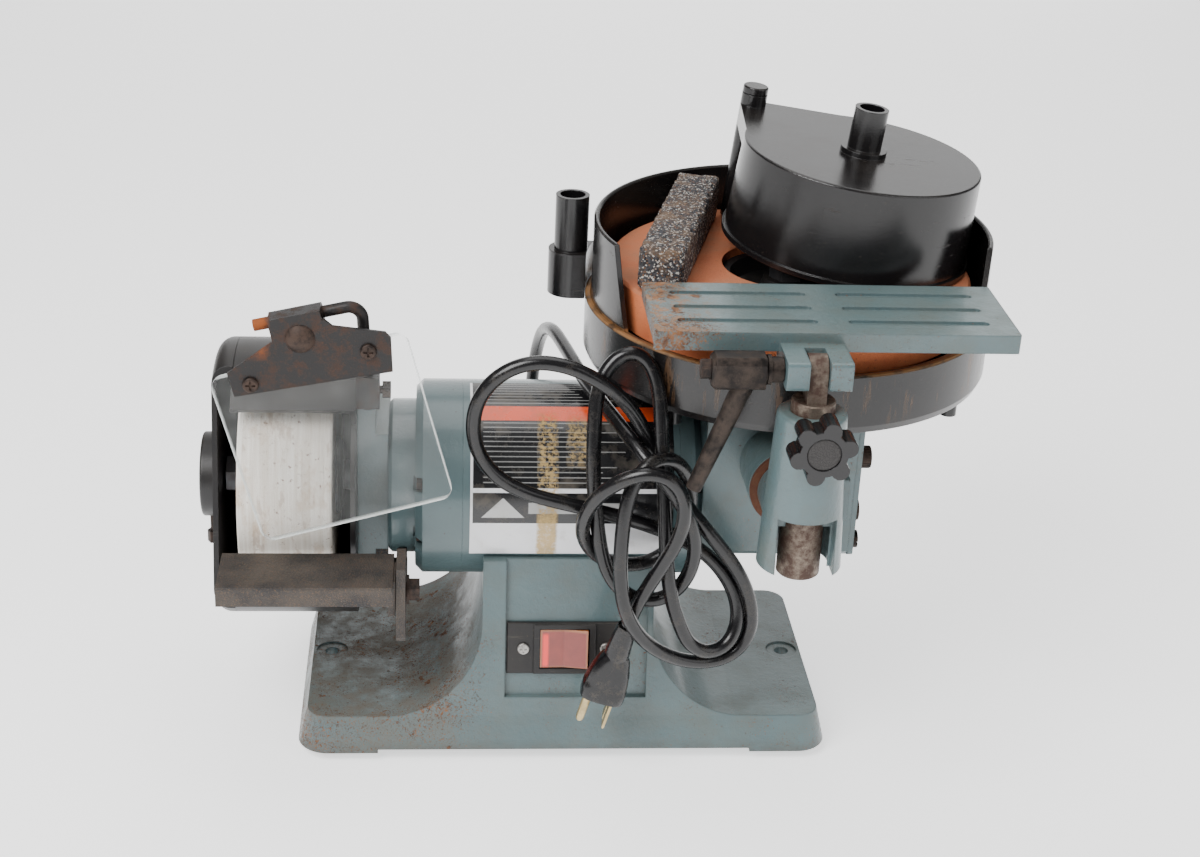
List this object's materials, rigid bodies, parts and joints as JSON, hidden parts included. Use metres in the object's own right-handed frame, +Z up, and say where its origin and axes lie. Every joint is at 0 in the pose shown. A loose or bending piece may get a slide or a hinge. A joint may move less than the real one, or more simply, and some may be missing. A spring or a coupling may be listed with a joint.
{
  "type": "wet grinding sharpener",
  "caption": "Bench sharpener with a guarded dry wheel, a large flat wet wheel in a water tray, grooved tool rest, cast base and rocker switch.",
  "frame": {"origin": "on the bench, under the middle of the machine's box, measured without the cord", "axes": "+X along the motor shaft from the dry wheel to the wet wheel, +Y from the user to the back, +Z up"},
  "size_m": [0.4436, 0.3068, 0.3563],
  "materials": {
    "cast_paint": "grey-green gloss paint on cast iron, fine orange peel, rust specks and chips",
    "sheet_paint": "grey-green gloss paint on smooth sheet and die-cast metal",
    "rubber": "black moulded rubber feet",
    "switch_black": "black moulded plastic, dusty",
    "rocker_red": "translucent red rocker with an amber edge",
    "screw_steel": "zinc plated steel screws, dulled",
    "black_oxide": "black oxide steel bolts, slightly rusted",
    "core_steel": "bare steel laminations and shafts",
    "copper": "varnished copper windings",
    "bearing_steel": "ground bearing steel",
    "bronze": "sintered bronze bushes and worm wheel",
    "label": "printed foil plate with plain colour fields and no lettering",
    "can": "drawn aluminium capacitor can",
    "guard_black": "black paint, dusty, worn at the edges",
    "crackle": "black crackle paint worn to tan metal along the edges",
    "bracket_black": "black sheet steel with brown rust",
    "white_abrasive": "white vitrified grinding wheel with rust-brown spots",
    "wet_abrasive": "terracotta fine grinding wheel",
    "clear": "clear plastic sheet with bright edges",
    "black_plastic": "glossy black moulded plastic, dusty",
    "hub_plastic": "black moulded plastic",
    "post_steel": "bare turned steel with brown patina",
    "rust_face": "bare machined face, rust brown",
    "stone_grain": "coarse black, white and brown grain",
    "cord_pvc": "black flexible cord jacket",
    "plug_pvc": "black moulded plug with brass blades"
  },
  "bodies": {
    "frame": {"base_casting": "cast_paint", "rubber_feet": "rubber", "switch_plate": "switch_black", "switch_screws": "screw_steel", "switch_housing": "switch_black", "motor_shell": "sheet_paint", "end_bell_left": "sheet_paint", "end_bell_right": "sheet_paint", "tie_bolts": "screw_steel", "stator": "core_steel", "windings": "copper", "shaft_bearings": "bearing_steel", "label_plate": "label", "start_capacitor": "can", "guard_housing": "guard_black", "guard_cover": "guard_black", "hub_cap": "guard_black", "guard_screws": "screw_steel", "guard_neck": "guard_black", "shield_clamp": "guard_black", "rest_arm": "bracket_black", "gear_housing": "cast_paint", "side_cover": "guard_black", "housing_screws": "black_oxide", "shaft_bushes": "bronze", "water_tray": "black_plastic", "splash_ring": "black_plastic", "pot_socket": "black_plastic", "rest_holder": "cast_paint", "holder_washer": "rust_face", "cord_lead": "cord_pvc", "cord_gland": "plug_pvc", "cord_hank": "cord_pvc", "mains_plug": "plug_pvc"},
    "rocker": {"rocker": "rocker_red"},
    "spindle": {"motor_shaft": "core_steel", "rotor": "core_steel", "dry_wheel": "white_abrasive", "wheel_flanges": "screw_steel", "wheel_nut": "screw_steel", "worm": "core_steel"},
    "wet_spindle": {"worm_wheel": "bronze", "wet_shaft": "core_steel", "wheel_hub": "hub_plastic", "wet_wheel": "wet_abrasive", "wet_wheel_nut": "screw_steel"},
    "rest_carrier": {"rest_bolt": "black_oxide"},
    "dry_rest": {"dry_rest": "crackle"},
    "shield_post": {"shield_rod": "bracket_black"},
    "eye_shield": {"shield_bracket": "bracket_black", "shield_lens": "clear", "shield_screws": "black_oxide"},
    "star_knob": {"star_knob": "black_plastic"},
    "tool_post": {"tool_post": "post_steel"},
    "clamp_lever": {"clamp_lever": "guard_black", "clamp_bolt": "black_oxide"},
    "wet_rest": {"wet_rest": "cast_paint"},
    "water_pot": {"water_pot": "black_plastic"},
    "drip_valve": {"drip_valve": "black_plastic"},
    "dressing_stone": {"dressing_stone": "stone_grain"}
  },
  "joints": [
    {"name": "rocker_switch", "type": "hinge", "parent": "frame", "child": "rocker", "pos_m": [-0.01745, -0.04562, 0.06591], "axis": [0, 0.1909, 0.9816], "range_deg": [0, 10]},
    {"name": "spindle_spin", "type": "hinge", "parent": "frame", "child": "spindle", "pos_m": [-0.01575, 0.01575, 0.1432], "axis": [1, 0, 0], "continuous": true},
    {"name": "wet_wheel_spin", "type": "hinge", "parent": "frame", "child": "wet_spindle", "pos_m": [0.10725, 0.03575, 0.1432], "axis": [0, 0, 1], "continuous": true},
    {"name": "dry_rest_slide", "type": "slide", "parent": "frame", "child": "rest_carrier", "axis": [0, 1, 0], "range_m": [-0.006, 0.0025]},
    {"name": "dry_rest_tilt", "type": "hinge", "parent": "rest_carrier", "child": "dry_rest", "pos_m": [-0.01575, -0.06925, 0.116], "axis": [1, 0, 0], "range_deg": [-8, 10]},
    {"name": "shield_height", "type": "slide", "parent": "frame", "child": "shield_post", "axis": [0, 0, 1], "range_m": [-0.004, 0.02]},
    {"name": "shield_flip", "type": "hinge", "parent": "shield_post", "child": "eye_shield", "pos_m": [-0.18375, -0.06105, 0.2649], "axis": [-0.9753, 0, -0.2207], "range_deg": [0, 80]},
    {"name": "post_height", "type": "slide", "parent": "frame", "child": "tool_post", "axis": [0, 0, 1], "range_m": [0, 0.04]},
    {"name": "knob_turn", "type": "hinge", "parent": "frame", "child": "star_knob", "pos_m": [0.09725, -0.14225, 0.2365], "axis": [0, -1, 0], "range_deg": [0, 360]},
    {"name": "table_tilt", "type": "hinge", "parent": "tool_post", "child": "wet_rest", "pos_m": [0.09725, -0.11225, 0.2655], "axis": [1, 0, 0], "range_deg": [0, 35]},
    {"name": "lever_swing", "type": "hinge", "parent": "tool_post", "child": "clamp_lever", "pos_m": [0.09725, -0.11225, 0.2655], "axis": [1, 0, 0], "range_deg": [-90, 25]},
    {"name": "pot_lift", "type": "slide", "parent": "frame", "child": "water_pot", "axis": [0, 0, 1], "range_m": [0, 0.08]},
    {"name": "valve_turn", "type": "hinge", "parent": "water_pot", "child": "drip_valve", "pos_m": [0.08731, 0.11776, 0.28297], "axis": [0.0994, -0.0398, 0.9942], "range_deg": [0, 270]},
    {"name": "stone_lift", "type": "slide", "parent": "frame", "child": "dressing_stone", "axis": [0, 0, 1], "range_m": [0, 0.06]}
  ],
  "couplings": [
    {"joint": "wet_wheel_spin", "follows": "spindle_spin", "ratio": 0.020833}
  ]
}
